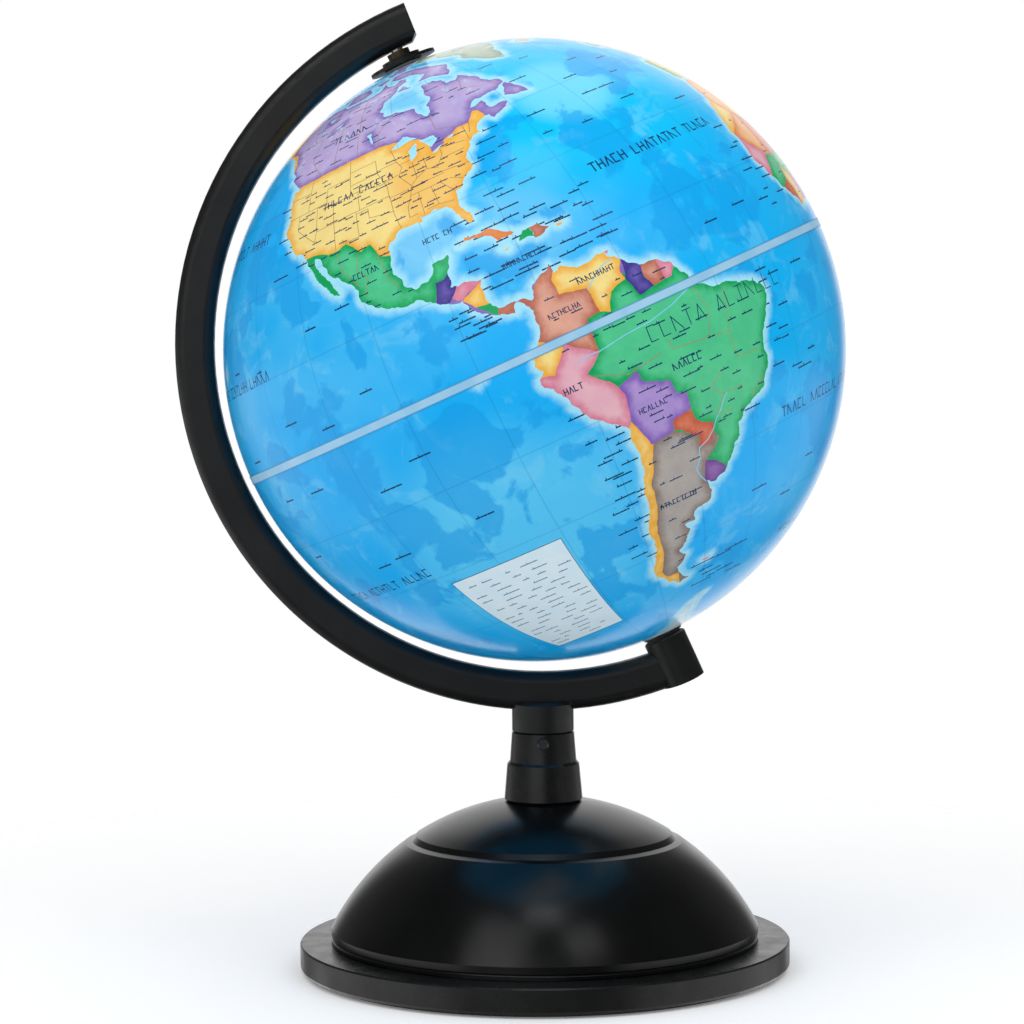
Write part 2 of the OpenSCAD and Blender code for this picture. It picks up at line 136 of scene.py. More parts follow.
# Islands: colour key or "old" where a country nearby gives it, outline
ISLANDS = """c -59.3 47.9,-56 46.9,-53 46.7,-53.5 48.5,-55.8 51.4,-57 51,-58.5 49
c -66 62,-72 64.3,-78 64.4,-73 67,-79 70,-85 70,-89.5 71,-89 73.5,-81 73.7,-76 72.8,-68 70.5,-61.8 67,
-64 65
c -117 69,-105 69,-101.5 70,-105 73,-117 73.3,-118 71
c -125 72,-123 71.2,-118 73.5,-122 74.3
c -90 76.5,-80 76.2,-76 78.5,-65 81.5,-62 82.5,-72 83,-90 81.5,-86 79
c -95 76.8,-92 75,-80 74.7,-80 75.7
c -87 64,-81 63.5,-84 65.8
c -101 73,-96 71.5,-91 73.5,-96 74
e -44 60,-48 61,-52 65,-54 67.5,-51 69.5,-55 71,-58 75,-68 76,-71 77.8,-65 80,-60 82,-45 82.8,-32 83.6,
-20 82.5,-12 81.5,-20 79,-18 76.5,-22 72.5,-25 70.5,-32 68,-40 65,-42 62
o -85 21.9,-83 23.1,-79 22.9,-75.5 20.8,-74.2 20.2,-77.7 19.9,-78.5 21.3,-82 22.3
g -74.4 18.4,-73 19.9,-71.8 19.9,-71.6 18
s -71.8 19.9,-70 19.8,-68.4 18.6,-71.5 17.7
y -78.3 18.4,-76.3 18.1,-77 17.8
y -67.2 18.4,-65.7 18.3,-67 18
p -61.9 10.7,-61 10.6,-61.6 10.1
p -61 -51.8,-58 -51.5,-59 -52.3
y -91.5 -0.2,-91 -1,-90.2 -0.6
y -156 20.2,-155 19.6,-155.8 19
o -24 65.5,-22 64,-18.5 63.4,-13.6 65,-16 66.5,-21 66
p -5.6 50,1.3 51.2,0.3 53,-1.5 55,-2 57.5,-5 58.6,-5.5 56,-3 54,-4.5 53,-5 51.7
g -10 52,-6.3 52.2,-6 54.8,-8.5 55.2,-10 54
g 49.3 -12,50.4 -15.7,47 -25,44 -25,43.5 -22,44.5 -16.5
y 130 31.3,131.8 33,135.5 33.6,140.5 35.5,142 39.5,141 41.4,139.5 38.5,136 36,131 34.4,129.7 33
y 140 42,143.2 42,145.5 43.3,141.8 45.4,140.5 43
v 142 46,143.5 49,143 54,142 52
o 120.2 23,121 22,121.8 25,121 25
g 79.9 7,80.5 6,81.8 7.5,80 9.8
o 120 16,120.6 18.5,122 18.3,122 15,124 12.8,121 13.8
o 122 7,126.3 7,125.5 9.7,123.5 8.6
y 95.3 5.6,98.5 4,104 -2,106 -5.8,102 -4,98.6 1.7
y 105.2 -6.8,106.7 -6,114.4 -7.7,114.5 -8.7,108 -7.8
old 109 1.5,111 2.5,113.5 3.3,117 7,119 5,117.5 1,116 -3.8,110.3 -2.8
y 119.5 -5.5,120.5 -3,123 -1,121 0.5,125 1.5,120 1,119 -2.5
old 131 -0.8,134.5 -0.8,135 -3.3,141 -2.6,147 -6,150.8 -10.5,146.5 -8.8,143 -9,138 -8.3,133 -4
p 113.7 -22.5,114.2 -26.5,115.7 -32,115 -34.2,118 -35,123.5 -34,129 -31.7,131.3 -31.5,135.5 -34.8,
138 -33,138 -35.6,140.5 -38,144 -38.5,146.4 -39,150 -37.4,153.5 -29,153 -25.5,149 -20.5,146 -19,
145.3 -15,142.5 -10.8,141.6 -14,140.8 -17.5,137 -16,136.8 -12.2,132.5 -11.4,130 -13,129 -15,125 -14.5,
122.2 -18,117 -20.8
p 144.8 -41,148.3 -41,147.5 -43.5,146 -43.4
v 173 -34.5,175.5 -36.7,178.5 -37.7,176.5 -40.5,175 -41.5,173.8 -39.3,174.7 -37
v 172.7 -40.6,174.2 -41.5,171 -45,168.5 -46.6,166.5 -45.8,170.5 -43"""

LAKES = """-92 46.7,-88 48.8,-84.7 46.8,-88 46.8
-87.8 42,-86 43,-85.3 45.8,-87.8 44.5
-84.5 46,-80.5 45.7,-80 44.6,-82 43.2,-83.4 45
-83.3 41.7,-79 42.8,-81.5 41.6
-79.7 43.3,-76.3 43.5,-76.4 44.1
-99 53.8,-97 50.5,-97.2 53.8
-124 66,-118 66.5,-121 65
-117 61,-110 62.6,-113 61.3
50 45,53 46.8,53 42,54 37,50 37.5,49.5 40.5,47.5 43
31.8 -0.5,34 0,33.5 -2.5,32 -2.4
104 51.6,109.5 55.5,107 52.3"""

# Countries of the Americas. The first that holds a place gives its colour
COUNTRIES = """y -141 72,-141 60.3,-135 59.5,-130 56,-130 54.5,-135 54,-170 50,-170 72
y -125 49,-95.2 49,-89.5 48,-84.5 46.5,-82.5 45.3,-82.5 42,-79 42.8,-79 43.5,-76.5 44.1,-74.7 45,
-71.5 45,-70.3 46.2,-69 47.4,-67.8 47,-67 44.8,-66 44,-60 40,-79 24,-84 24,-96 25,-97.3 25.9,-99.2 26.5,
-101 29.6,-103.2 29,-104.7 30.5,-106.5 31.8,-108.2 31.3,-111 31.3,-114.8 32.5,-117.1 32.5,-125 32
g -120 33,-95 33,-95 24,-86 24,-86.5 18.2,-88.3 18.4,-89.2 17.8,-91 17.8,-91.4 16,-92.2 14.5,-93 13,
-107 15,-120 25
u -91 17.9,-88 18.6,-87.5 16,-89 14.3,-90 13.5,-92.5 13.5,-91.4 16
p -89.2 14.3,-88 16.2,-83 16,-83 15,-86.5 13.8,-87.5 12.8
y -83 15,-87.8 13,-86 11,-83.5 10.7
g -86 11.2,-83.4 10.9,-82.5 9.5,-83 8
s -83 8,-82.5 9.6,-79 10,-77.3 8.7,-77.8 7.2,-80 6.5
s -77.3 8.7,-72 13,-71 12,-72.4 10,-72.3 7.2,-67.5 6.2,-67.2 1.7,-69.8 1.5,-70 -4.2,-72.8 -2.4,-75.2 0,
-78.8 1.4,-80 3,-77.8 7.2
y -72 13,-60 11,-60 8.2,-61 6.5,-60.7 5,-64 4,-65.5 1,-67.2 1.7,-67.5 6.2,-72.3 7.2,-72.4 10
u -60 8.5,-57 6.5,-57.5 4,-56.5 2,-59.5 1.5,-60.7 5
s -57 6.5,-54 6.5,-54.3 2.3,-56.5 2,-57.6 4.5
p -54 6.5,-51 4.5,-52.7 2.3,-54.3 2.3
y -80.5 1.5,-78.8 1.4,-75.3 0,-75.5 -1.5,-78.5 -4.8,-80.5 -4.3,-82 -3
p -82 -3.5,-80.3 -3.5,-78.5 -4.9,-75.3 -0.1,-72.8 -2.4,-70 -4.2,-73.5 -7,-70.5 -9.5,-69.5 -11,
-68.8 -12.7,-69.3 -16.3,-69.8 -17.8,-70.5 -18.5,-73 -18,-84 -8
v -69.3 -11,-65.4 -9.8,-65 -12,-60.3 -13.7,-60 -16.2,-58.2 -16.5,-58 -19.8,-62.3 -20.5,-62.6 -22.2,
-67.5 -22.8,-68.5 -20,-69.5 -17.5
r -62.5 -22,-62 -20,-58.2 -20,-57.8 -22.1,-54.3 -24,-54.6 -25.6,-55.8 -27.3,-58.6 -27.2,-57.7 -25.2
m -57.6 -30.1,-55.5 -30.9,-53.2 -32.8,-53 -34,-56 -36,-58.6 -34
b -66 -22,-62.6 -22.2,-57.7 -25.3,-58.6 -27.3,-55.8 -27.3,-54.6 -25.6,-53.7 -27,-57.6 -30.1,-58.4 -33.9,
-55 -36,-60 -45,-62 -56,-68.5 -56,-68.6 -52.3,-72 -52,-73.3 -50,-72 -47,-71.5 -44,-71.8 -40,-70.5 -36,
-70 -33,-70 -30,-68.5 -27,-67.2 -23
y -67 -22,-70 -17,-78 -17,-80 -57,-66 -57,-68 -54
g -75 6,-30 6,-30 -35,-58.5 -35,-75 -12"""

# Countries of the old world: colour key, then the places that each one holds
OLD_WORLD = """o -7 32;y -13 25.5;y 3 28;p 9.5 34.5;g 17 27;y 29.5 27;o -10.5 20;r -2 18;p -14.5 14.5
g -11 10.5;r -9.5 6.8;y -5.5 7.5;v -1 7.8;g -1.5 12.3;o 2 9.5
y 9 17.5;p 8 9.5;g 18.5 15;v 12.5 5.5;o 20.5 6.8
p 30 15.5;y 30.5 7.5;g 39.5 8.5;o 38.5 15.2;v 46 5,49 9;o 38 0.5;p 32.5 1.5;y 13 -1;v 23.5 -3
y 34.5 -6.3;p 17.5 -12.5;g 27 -14;o 36 -14.5,34 -21;v 29.8 -19;y 24 -22;g 17 -22;p 24.5 -30
g -8 39.8;y -3.7 40;p 2.5 46.5;o 10.5 51;g 12.5 42.8;y 19.5 52;p 8.5 61;y 15.5 62;g 26 63.5;v 25 56.5
o 28 53.5;p 31.5 49;y 25 45.8;v 20.5 43.5;g 22 39.3;o 35 39
v 38 57,50 57,62 60,75 62,90 62,105 62,120 62,135 60,150 64,170 66,188 66,
45 50,63 55,80 55,100 54,118 53.5,133 48.5
y 67 48,57 47.5,77 46;o 104 46.5;p 88 42,100 36,88 33,110 35,116 29,105 27,122 43.5,127 47,112 42.3
y 138 36;o 127 38;g 54 32.5;y 43.8 33;o 45 24;v 48 15.8;g 57 21;p 37.5 33.5;r 45 41.5;v 59.5 39
o 63.5 41.5;y 66 33.8;g 69.5 29.5;o 78 22,76 28,79 13,93.5 26;g 84.5 28.2;v 90.3 24;y 96 20.5
g 101 15.5;p 104 18.5;o 105 12.5;p 108 14;v 102 4,114.5 4.5;y 114 -1,137 -4;g 144.5 -6"""

# Thin lines on land: state and province borders, then rivers
STATE_LINES = """-117 49,-117 42|-124 46.2,-117 46|-124.2 42,-111 42|-120 42,-120 39,-114.6 35
-114 42,-114 37,-114.7 35|-111 45,-111 41,-109 41|-109 41,-109 31.5|-114 37,-94.6 37|-111 45,-104 45
-104 49,-104 41|-104 46,-96.6 46|-104 43,-96.5 43|-102 41,-95.8 40|-109 41,-102 41,-102 37
-103 37,-103 32,-106.5 32|-103 36.5,-100 36.5,-100 34.5,-94.4 33.6|-94.5 37,-94.4 33,-93.8 30
-95.8 40,-91.5 40.5|-96.5 46,-96.5 43,-94.6 39,-94.6 36.5,-90 36.5|-96.5 43.5,-91.2 43.5
-92 46.7,-91.2 43.5,-90.2 41.8,-91.4 40,-89.2 37,-90 35,-91.2 33,-91.5 31,-89.7 31|-90.5 42.5,-87.8 42.5
-87.6 41.7,-87.5 38,-89.2 37|-84.8 41.7,-84.8 39,-87.5 38|-89.2 36.5,-81.7 36.6|-90 35,-83.2 35
-88.2 35,-88.4 30.3|-85.3 35,-85 31,-87.5 31|-85 31,-82 30.5|-83.2 35,-81 32.1|-81 35,-78.6 33.9
-84.8 39,-82.5 38.2,-80.5 40.6,-80.5 42|-82 37,-75.9 36.5|-80.5 39.7,-75.5 39.8|-79.7 42,-74.7 41.4
-73.3 45,-73.4 41.2|-71.5 45,-72.5 42.7|-114 49,-120 54,-120 60|-110 49,-110 60|-102 49,-102 67
-95.2 49,-95.2 52.8,-89 57|-139 60,-94 60|-79.5 51.5,-79.5 47,-74.5 45.3|-64.5 60,-67 55,-57 52
-136 68.5,-124 60|-104 29,-105 26,-103 24,-104 21|-109 31,-108 27,-105 23|-100 28,-99 22,-97.5 20
-73 -7.5,-66.8 -9.8,-60 -8.8|-58 -7,-58 -9,-50.5 -9.8|-50 -1,-48.5 -5.5,-50.3 -9.8,-46 -10.3,-44 -3
-46 -10.3,-46 -15,-40 -15.5
-50 -16,-53 -18,-51 -20,-46 -20|-51 -20,-53 -23,-49.5 -23.3|-41 -20,-44.5 -22.8"""
RIVERS = """-50 -0.5,-55 -2.2,-60 -3.2,-65 -3.5,-70 -4.2,-74 -4.5|-58.4 -34,-60 -31,-58.5 -27.3,-54.5 -25,
-50 -20|-61.5 9,-65 7.8,-67.5 6|-135 68.5,-128 65,-120 61.3
31 31,32.8 26,31 21.5,33 17,32.5 14,31.5 9,32 3
12.5 -6,17 -1.5,22 2,26 -0.5|6 4.8,6.5 8.5,4 12,0 16.5,-5 15|73 66.5,66 64,69 61,76 59,85 52
83 70,87 66,91 58,92 52|127 72,124 66,130 62,118 59,108 54|48 46,45 49,49 53,49 56,42 56.5
90 23,82 25.5,78 30|121 31.7,114 30,107 29.5,101 26.5,97 33|119 37.5,113 35,110 40,104 36"""

# Greeked names: start lon lat, words as letter counts, letter height in mm, stroke in mm
NAMES = """-55.5 24.4 5.8.5 3.0 0.5;-36.5 -29.2 5.8.5 3.0 0.42;-151 -28.8 5.7.5 2.8 0.42;-163 15 5.7.5 3 0.42
-170 40 5.7.5 3 0.42;63 -22 6.5 3 0.42;150 30 5.7 3 0.42;-25 -56 7.5 2.6 0.36;-59 -12.5 6 1.9 0.36
-78.3 -8.6 4 1.7 0.34;-67.6 -17 7 1.5 0.3;-68.5 7.4 9 1.5 0.3;-69.5 -35.5 9 1.5 0.32;-112 40.5 6.6 2.2 0.34
-112 56 6 2.4 0.36;-106 24.5 6 1.7 0.32;-75.5 4 8 1.4 0.28;-61 -6.5 5.7 4.6 0.3;-45 74 9 1.8 0.3
62 62 6 3.4 0.45;98 34 5 2.6 0.4;74 21.5 5 1.9 0.36;125 -26 9 2.4 0.4;3 26.5 7 1.6 0.32;18 -1 5 1.9 0.32
10 12 6 4.6 0.3;-90.5 25 4.2 1.5 0.3;-79 15 9 1.4 0.28"""

# Small greeked names: west, east, south, north, count, letter height in mm, ink
TOWNS = """-121 -76 30.5 47.5 100 0.75 land;-132 -66 50 67 56 0.8 land;-111 -91 17 31 22 0.75 land
-86 -58 11.5 26.5 40 0.95 sea;-76 -54 -3 9 20 0.75 land;-68 -40 -26 -1 46 0.85 land
-70 -60 -50 -24 18 0.8 land;-80 -71 -45 -12 26 0.95 sea;-38 -31 -22 -4 10 0.9 sea
-92 -84 6 12 12 0.95 sea;-66 -48 -60 -52 10 1 sea;-150 -100 -25 24 16 1 sea;-60 -20 30 60 14 1 sea
-50 -15 -50 15 12 1 sea;-14 38 -30 33 90 0.8 land;-8 60 38 66 80 0.8 land;60 140 12 66 110 0.85 land
115 150 -36 -15 22 0.8 land;50 180 -50 20 50 1 sea;145 200 0 50 24 1 sea
-79 -68 27 42 12 0.9 sea;-128 -118 30 48 10 0.9 sea;-24 -16 6 24 12 0.9 sea"""

# Legend panel in the South Pacific: west, east, south, north
PANEL = (-117.6, -90.9, -59.6, -32.2)


def srgb(code):
    """Linear colour of a hexadecimal screen colour."""
    values = [int(code[i:i + 2], 16) / 255 for i in (1, 3, 5)]
    return [v / 12.92 if v <= 0.04045 else ((v + 0.055) / 1.055) ** 2.4 for v in values] + [1.0]


def points(text):
    return np.array([[float(v) for v in pair.split()] for pair in text.replace("\n", "").split(",")])


def entries(text, mark="\n"):
    """The entries of a text, which a mark or the end of a line parts."""
    return text.replace(",\n", ",").replace("\n", mark).split(mark)


def direction(lonlat):
    """Unit vectors, with x towards the facing meridian, y east of it and z north."""
    lon, lat = np.radians(lonlat[..., 0] - FACING_LON), np.radians(lonlat[..., 1])
    return np.stack([np.cos(lat) * np.cos(lon), np.cos(lat) * np.sin(lon), np.sin(lat)], -1)


# ---- Outlines ----

RADIUS_MM = 99.87  # of the print's face, which stays just inside the CAD box
COAST_STEP, BORDER_STEP = 1.0 / RADIUS_MM, 1.6 / RADIUS_MM


def refine(a, b, step, rough, out):
    """Adds the points from a up to b, with midpoints pushed sideways as a coast wanders.
    The push comes from the two ends, so that neighbours share one border."""
    gap = np.linalg.norm(b - a)
    if gap < step:
        out.append(a)
        return
    low, high = (a, b) if tuple(a) < tuple(b) else (b, a)
    chance = random.Random(" ".join(f"{v:.5f}" for v in (*low, *high)))
    side = np.cross(low, high)
    middle = (a + b) / 2 + side / np.linalg.norm(side) * gap * rough * chance.uniform(-1, 1)
    middle /= np.linalg.norm(middle)
    refine(a, middle, step, rough, out)
    refine(middle, b, step, rough, out)


def outline(corners, step, rough, closed=True):
    """Unit vectors along a line through corners in degrees."""
    out = []
    last = len(corners) if closed else len(corners) - 1
    for i in range(last):
        a, b = corners[i], corners[(i + 1) % len(corners)]
        b = a + (b - a + 180) % 360 - 180
        parts = max(1, math.ceil(np.abs(b - a).max() / 4))
        stops = direction(np.linspace(a, b, parts + 1))
        for k in range(parts):
            refine(stops[k], stops[k + 1], step, rough, out)
    if not closed:
        out.append(direction(corners[-1]))
    return np.array(out)


def cut(polygon, middle, normal):
    """The part of a flat convex polygon on the side of a line that normal points away from."""
    out = []
    for i, p in enumerate(polygon):
        q = polygon[(i + 1) % len(polygon)]
        dp, dq = np.dot(p - middle, normal), np.dot(q - middle, normal)
        if dp <= 0:
            out.append(p)
        if dp * dq < 0:
            out.append(p + (q - p) * dp / (dp - dq))
    return out


def old_world_cells():
    """Each place of the old world with the cell nearest to it: (country, colour, cell)."""
    places = []
    for country, entry in enumerate(entries(OLD_WORLD, ";")):
        key, where = entry.split(" ", 1)
        places += [(country, key, p) for p in points(where)]
    cells = []
    for country, key, p in places:
        cell = [np.array(c, float) for c in ((-25, -45), (200, -45), (200, 82), (-25, 82))]
        for _, _, q in places:
            if (p != q).any():
                cell = cut(cell, (p + q) / 2, q - p)
        cells.append((country, key, np.round(np.array(cell), 4)))
    return cells


def quad_line(a, b, width):
    """Four corners of a straight stroke on the unit sphere."""
    side = np.cross(a, b)
    side *= width / 2 / RADIUS_MM / np.linalg.norm(side)
    along = (b - a) / np.linalg.norm(b - a) * width / 2 / RADIUS_MM
    corners = np.array([a - along - side, b + along - side, b + along + side, a - along + side])
    return corners / np.linalg.norm(corners, axis=1)[:, None]


# Strokes of made-up letters, in a box 0.62 wide and 1 high
GLYPHS = [((0, 0, 0, 1), (0, 1, 0.6, 0)), ((0, 0, 0.3, 1), (0.3, 1, 0.6, 0)),
          ((0, 0, 0, 1), (0, 0, 0.5, 0)), ((0.3, 0, 0.3, 1), (0, 1, 0.6, 1)),
          ((0, 0, 0, 1), (0.6, 0, 0.6, 1), (0, 0.5, 0.6, 0.5)),
          ((0, 0, 0.5, 0), (0, 1, 0.5, 1), (0, 0, 0, 1))]

# Measures of large and small lettering, as shares of the letter height
LETTER_PITCH, WORD_GAP = 0.92, 0.8
BAR_PITCH, BAR_GAP, BAR_THICK, TALL_THICK, TALL_RISE = 0.72, 0.4, 0.5, 0.3, 0.7
MM_PER_DEGREE = RADIUS_MM * math.radians(1)


def letters(lon, lat, words, height, stroke, chance):
    """Strokes for rows of made-up letters along a parallel, as quads."""
    quads, x = [], 0.0
    mm_per_degree = MM_PER_DEGREE * math.cos(math.radians(lat))
    for count in words:
        for _ in range(count):
            for x0, y0, x1, y1 in chance.choice(GLYPHS):
                ends = [direction(np.array([lon + (x + u * height) / mm_per_degree,
                                            lat + v * height / MM_PER_DEGREE]))
                        for u, v in ((x0, y0), (x1, y1))]
                quads.append(quad_line(ends[0], ends[1], stroke))
            x += height * LETTER_PITCH
        x += height * WORD_GAP
    return quads


def small_name(lon, lat, count, height, chance):
    """A word too small to read: bars one to three letters long, with one that stands taller."""
    quads, x = [], 0.0
    mm_per_degree = MM_PER_DEGREE * math.cos(math.radians(lat))
    rise = height / MM_PER_DEGREE
    tall = chance.random() * count * height * 0.6
    while x < count * height * BAR_PITCH:
        run = height * BAR_PITCH * chance.randint(1, 3)
        ends = [direction(np.array([lon + u / mm_per_degree, lat]))
                for u in (x, x + run - height * BAR_GAP)]
        quads.append(quad_line(ends[0], ends[1], height * BAR_THICK))
        x += run + height * 0.18
    ends = [direction(np.array([lon + tall / mm_per_degree, lat + v * rise])) for v in (0, TALL_RISE)]
    return quads + [quad_line(ends[0], ends[1], height * TALL_THICK)]


def thin_lines(text, width, rough):
    """Lines as quads, from entries of corners in degrees."""
    quads = []
    for line in entries(text, "|"):
        path = outline(points(line), 3 * BORDER_STEP, rough, closed=False)
        quads += [quad_line(path[i], path[i + 1], width) for i in range(len(path) - 1)]
    return quads


def overlays():
    """Everything printed over the regions: (corners, colour, where), later ones on top.
    where is land, sea or all."""
    chance = random.Random(7)
    out = [(q, WATER_INK, "land") for q in thin_lines(RIVERS, 0.32, 0.12)]
    out += [(q, LINE_INK, "land") for q in thin_lines(STATE_LINES, 0.2, 0.02)]
    west, east, south, north = PANEL
    for grow, colour in ((0.16, PANEL_EDGE), (0.0, PANEL_INK)):
        ring = np.array([[west - grow, south - grow], [east + grow, south - grow],
                         [east + grow, north + grow], [west - grow, north + grow]])
        out.append((outline(ring, 2 * BORDER_STEP, 0.0), colour, "all"))
    row_step, top_margin, letter_mm = 1.5, 2.2, 0.75
    for row in range(int((north - south) / row_step) - 1):
        lat = north - top_margin - row * row_step
        stretch = 1 / math.cos(math.radians(lat))
        lon = west + chance.choice((1.5, 2.5, 7.0))
        while lon < east - 2.5 * stretch:
            count = min(chance.randint(3, 9), int((east - lon) / stretch / 0.4))
            out += [(q, PALE_INK, "all") for q in small_name(lon, lat, count, letter_mm, chance)]
            lon += (count * 0.5 + chance.uniform(0.8, 2.6)) * stretch
    for entry in entries(NAMES, ";"):
        lon, lat, words, height, stroke = entry.split()
        counts = [int(n) for n in words.split(".")]
        out += [(q, INK, "all") for q in
                letters(float(lon), float(lat), counts, float(height), float(stroke), chance)]
    for entry in entries(TOWNS, ";"):
        *numbers, where = entry.split()
        w, e, s, n, count, height = map(float, numbers)
        columns = max(1, round(math.sqrt(count * (e - w) / (n - s))))
        rows = math.ceil(count / columns)
        for k in range(int(count)):
            lon = w + (e - w) * (k % columns + chance.uniform(0, 0.8)) / columns
            lat = s + (n - s) * (k // columns + chance.uniform(0.1, 0.9)) / rows
            letter_count = chance.randint(3, 7) if where == "land" else chance.randint(4, 9)
            out += [(q, INK, where) for q in small_name(lon, lat, letter_count, height, chance)]
    return out


def regions():
    """Rows of lakes, lands, countries and cells. Each row ends with a ring on the unit sphere."""
    lakes = [(outline(points(where), COAST_STEP, 0.1),) for where in entries(LAKES)]
    lands = [(key, source, outline(points(where), COAST_STEP, 0.16))
             for key, source, where in LAND.values()]
    for entry in entries(ISLANDS):
        key, where = entry.split(" ", 1)
        source = "old" if key == "old" else "none"
        lands.append(("y" if key == "old" else key, source, outline(points(where), COAST_STEP, 0.14)))
    countries = []
    for entry in entries(COUNTRIES):
        key, where = entry.split(" ", 1)
        countries.append((key, outline(points(where), BORDER_STEP, 0.07)))
    cells = [(country, key, outline(cell, BORDER_STEP, 0.1)) for country, key, cell in old_world_cells()]
    return lakes, lands, countries, cells


# ---- Map skins ----

EQUATOR_STEPS, POLE_STEPS = 720, 96
POLE_HOLE_MM = 5
POLE_HOLE = math.tan(math.asin(POLE_HOLE_MM / RADIUS_MM) / 2)  # its radius on the flat
FILM_THICK_MM = 0.26
GRID_MM, BACK_GRID_MM = 2.0, 6.0
PACKING = 0.866  # share of a square grid's cell that a point of the even grid takes
MERGE = 2e-6  # flat points nearer than this become one
FAR_MM = 20.0  # distances to a border stop here
HIDDEN_PART = -0.35  # points this far into the other half of the ball are left out
OVERLAP = -0.02  # fine shapes may reach this far into the other half
FIRST_COUNTRY, FIRST_CELL = 100, 200  # region numbers; lands start at 1 and the sea is 0


def flatten(unit, half):
    """Stereographic projection from the far pole of one half, where the equator is the unit circle."""
    return unit[:, :2] / (1 + half * unit[:, 2:3])


def lift(flat, half):
    """Flat points back on the unit sphere."""
    square = (flat ** 2).sum(1, keepdims=True)
    return np.concatenate([2 * flat, half * (1 - square)], 1) / (1 + square)


class Spots:
    """Flat points sorted by y, to ask which of them a ring holds."""

    def __init__(self, flat):
        self.order = np.argsort(flat[:, 1])
        self.x, self.y = flat[self.order].T

    def inside(self, ring):
        """Numbers of the points inside a ring: those with an odd count of its edges to their right."""
        ends = np.roll(ring, -1, 0)
        low = np.searchsorted(self.y, np.minimum(ring[:, 1], ends[:, 1]))
        high = np.searchsorted(self.y, np.maximum(ring[:, 1], ends[:, 1]))
        base = low.min()
        odd = np.zeros(high.max() - base, bool)
        for i in np.nonzero(high > low)[0]:
            (ax, ay), (bx, by) = ring[i], ends[i]
            at = ax + (self.y[low[i]:high[i]] - ay) * ((bx - ax) / (by - ay))
            odd[low[i] - base:high[i] - base] ^= self.x[low[i]:high[i]] < at
        return self.order[base + np.nonzero(odd)[0]]


def circle(radius, steps):
    turn = np.arange(steps) * 2 * math.pi / steps
    return radius * np.stack([np.cos(turn), np.sin(turn)], 1)


def within_circle(spots, radius, steps):
    """Which spots lie inside a regular polygon with a corner at angle 0."""
    turn, half_step = np.arctan2(spots[:, 1], spots[:, 0]), math.pi / steps
    off = np.mod(turn, 2 * half_step) - half_step
    return np.hypot(spots[:, 0], spots[:, 1]) * np.cos(off) < radius * math.cos(half_step)


def search_tree(places):
    tree = kdtree.KDTree(len(places))
    for i, place in enumerate(places):
        tree.insert(place, i)
    tree.balance()
    return tree


def triangulate(half, rings, grid_mm):
    """Flat points and triangles of one half of the ball, with every ring among the edges.
    The first two rings are the equator and the pole hole."""
    edges, first = [], 0
    for ring in rings:
        edges += [(first + i, first + (i + 1) % len(ring)) for i in range(len(ring))]
        first += len(ring)
    fixed = np.concatenate(rings)
    tree = search_tree(lift(fixed, half))
    count = round(2 * math.pi * RADIUS_MM ** 2 / (grid_mm ** 2 * PACKING))
    z = (np.arange(count) + 0.5) / count
    turn = np.arange(count) * math.pi * (3 - math.sqrt(5))
    grid = np.stack([np.sqrt(1 - z * z) * np.cos(turn), np.sqrt(1 - z * z) * np.sin(turn), half * z], 1)
    grid = np.array([p for p in grid if tree.find(p)[2] > grid_mm / 4 / RADIUS_MM])
    spots = np.concatenate([fixed, flatten(grid, half)])
    result = delaunay_2d_cdt([Vector(p) for p in spots], edges, [], 0, MERGE, False)
    spots, triangles = np.array([list(v) for v in result[0]]), np.array(result[2])
    middle = spots[triangles].mean(1)
    kept = within_circle(middle, 1, EQUATOR_STEPS) & ~within_circle(middle, POLE_HOLE, POLE_STEPS)
    used, renumbered = np.unique(triangles[kept], return_inverse=True)
    return spots[used], renumbered.reshape(-1, 3)


def paint(middle, flat_regions, flat_overlays):
    """Region number and the two colours of each triangle. Region 0 is the sea."""
    lakes, lands, countries, cells = flat_regions
    spots = Spots(middle)
    region = np.zeros(len(middle), int)
    pairs = {0: SEA}
    source_of = np.full(len(middle), "none", object)

    def claim(found, number, colours):
        region[found] = number
        pairs[number] = colours

    for number, (key, source, ring) in enumerate(lands, 1):
        found = spots.inside(ring)
        found = found[region[found] == 0]
        claim(found, number, PALETTE[key])
        source_of[found] = source
    for number, (key, ring) in enumerate(countries, FIRST_COUNTRY):
        found = spots.inside(ring)
        free = (source_of[found] == "new") & (region[found] < FIRST_COUNTRY)
        claim(found[free], number, PALETTE[key])
    for country, key, ring in cells:
        found = spots.inside(ring)
        free = (source_of[found] == "old") & (region[found] < FIRST_COUNTRY)
        claim(found[free], FIRST_CELL + country, PALETTE[key])
    for (ring,) in lakes:
        claim(spots.inside(ring), 0, SEA)
    numbers, row = np.unique(region, return_inverse=True)
    inner = np.array([srgb(pairs[n][0]) for n in numbers])[row]
    edge = np.array([srgb(pairs[n][1]) for n in numbers])[row]
    inner[:, 3] = region > 0
    for ring, colour, where in flat_overlays:
        found = spots.inside(ring)
        if where != "all":
            found = found[(region[found] > 0) == (where == "land")]
        inner[found, :3] = edge[found, :3] = srgb(colour)[:3]
        inner[found, 3] = 1
    return region, inner, edge


def shared_edges(triangles):
    """Each edge once, with the two triangles beside it, or -1 where there is only one."""
    pairs = np.concatenate([triangles[:, [0, 1]], triangles[:, [1, 2]], triangles[:, [2, 0]]])
    owner = np.tile(np.arange(len(triangles)), 3)
    order = np.lexsort((pairs.max(1), pairs.min(1)))
    pairs, owner = pairs[order], owner[order]
    key = np.sort(pairs, 1)
    same = (key[1:] == key[:-1]).all(1)
    first = np.concatenate([[True], ~same])
    second = np.full(len(pairs), -1)
    second[:-1][same] = owner[1:][same]
    return pairs[first], owner[first], second[first]


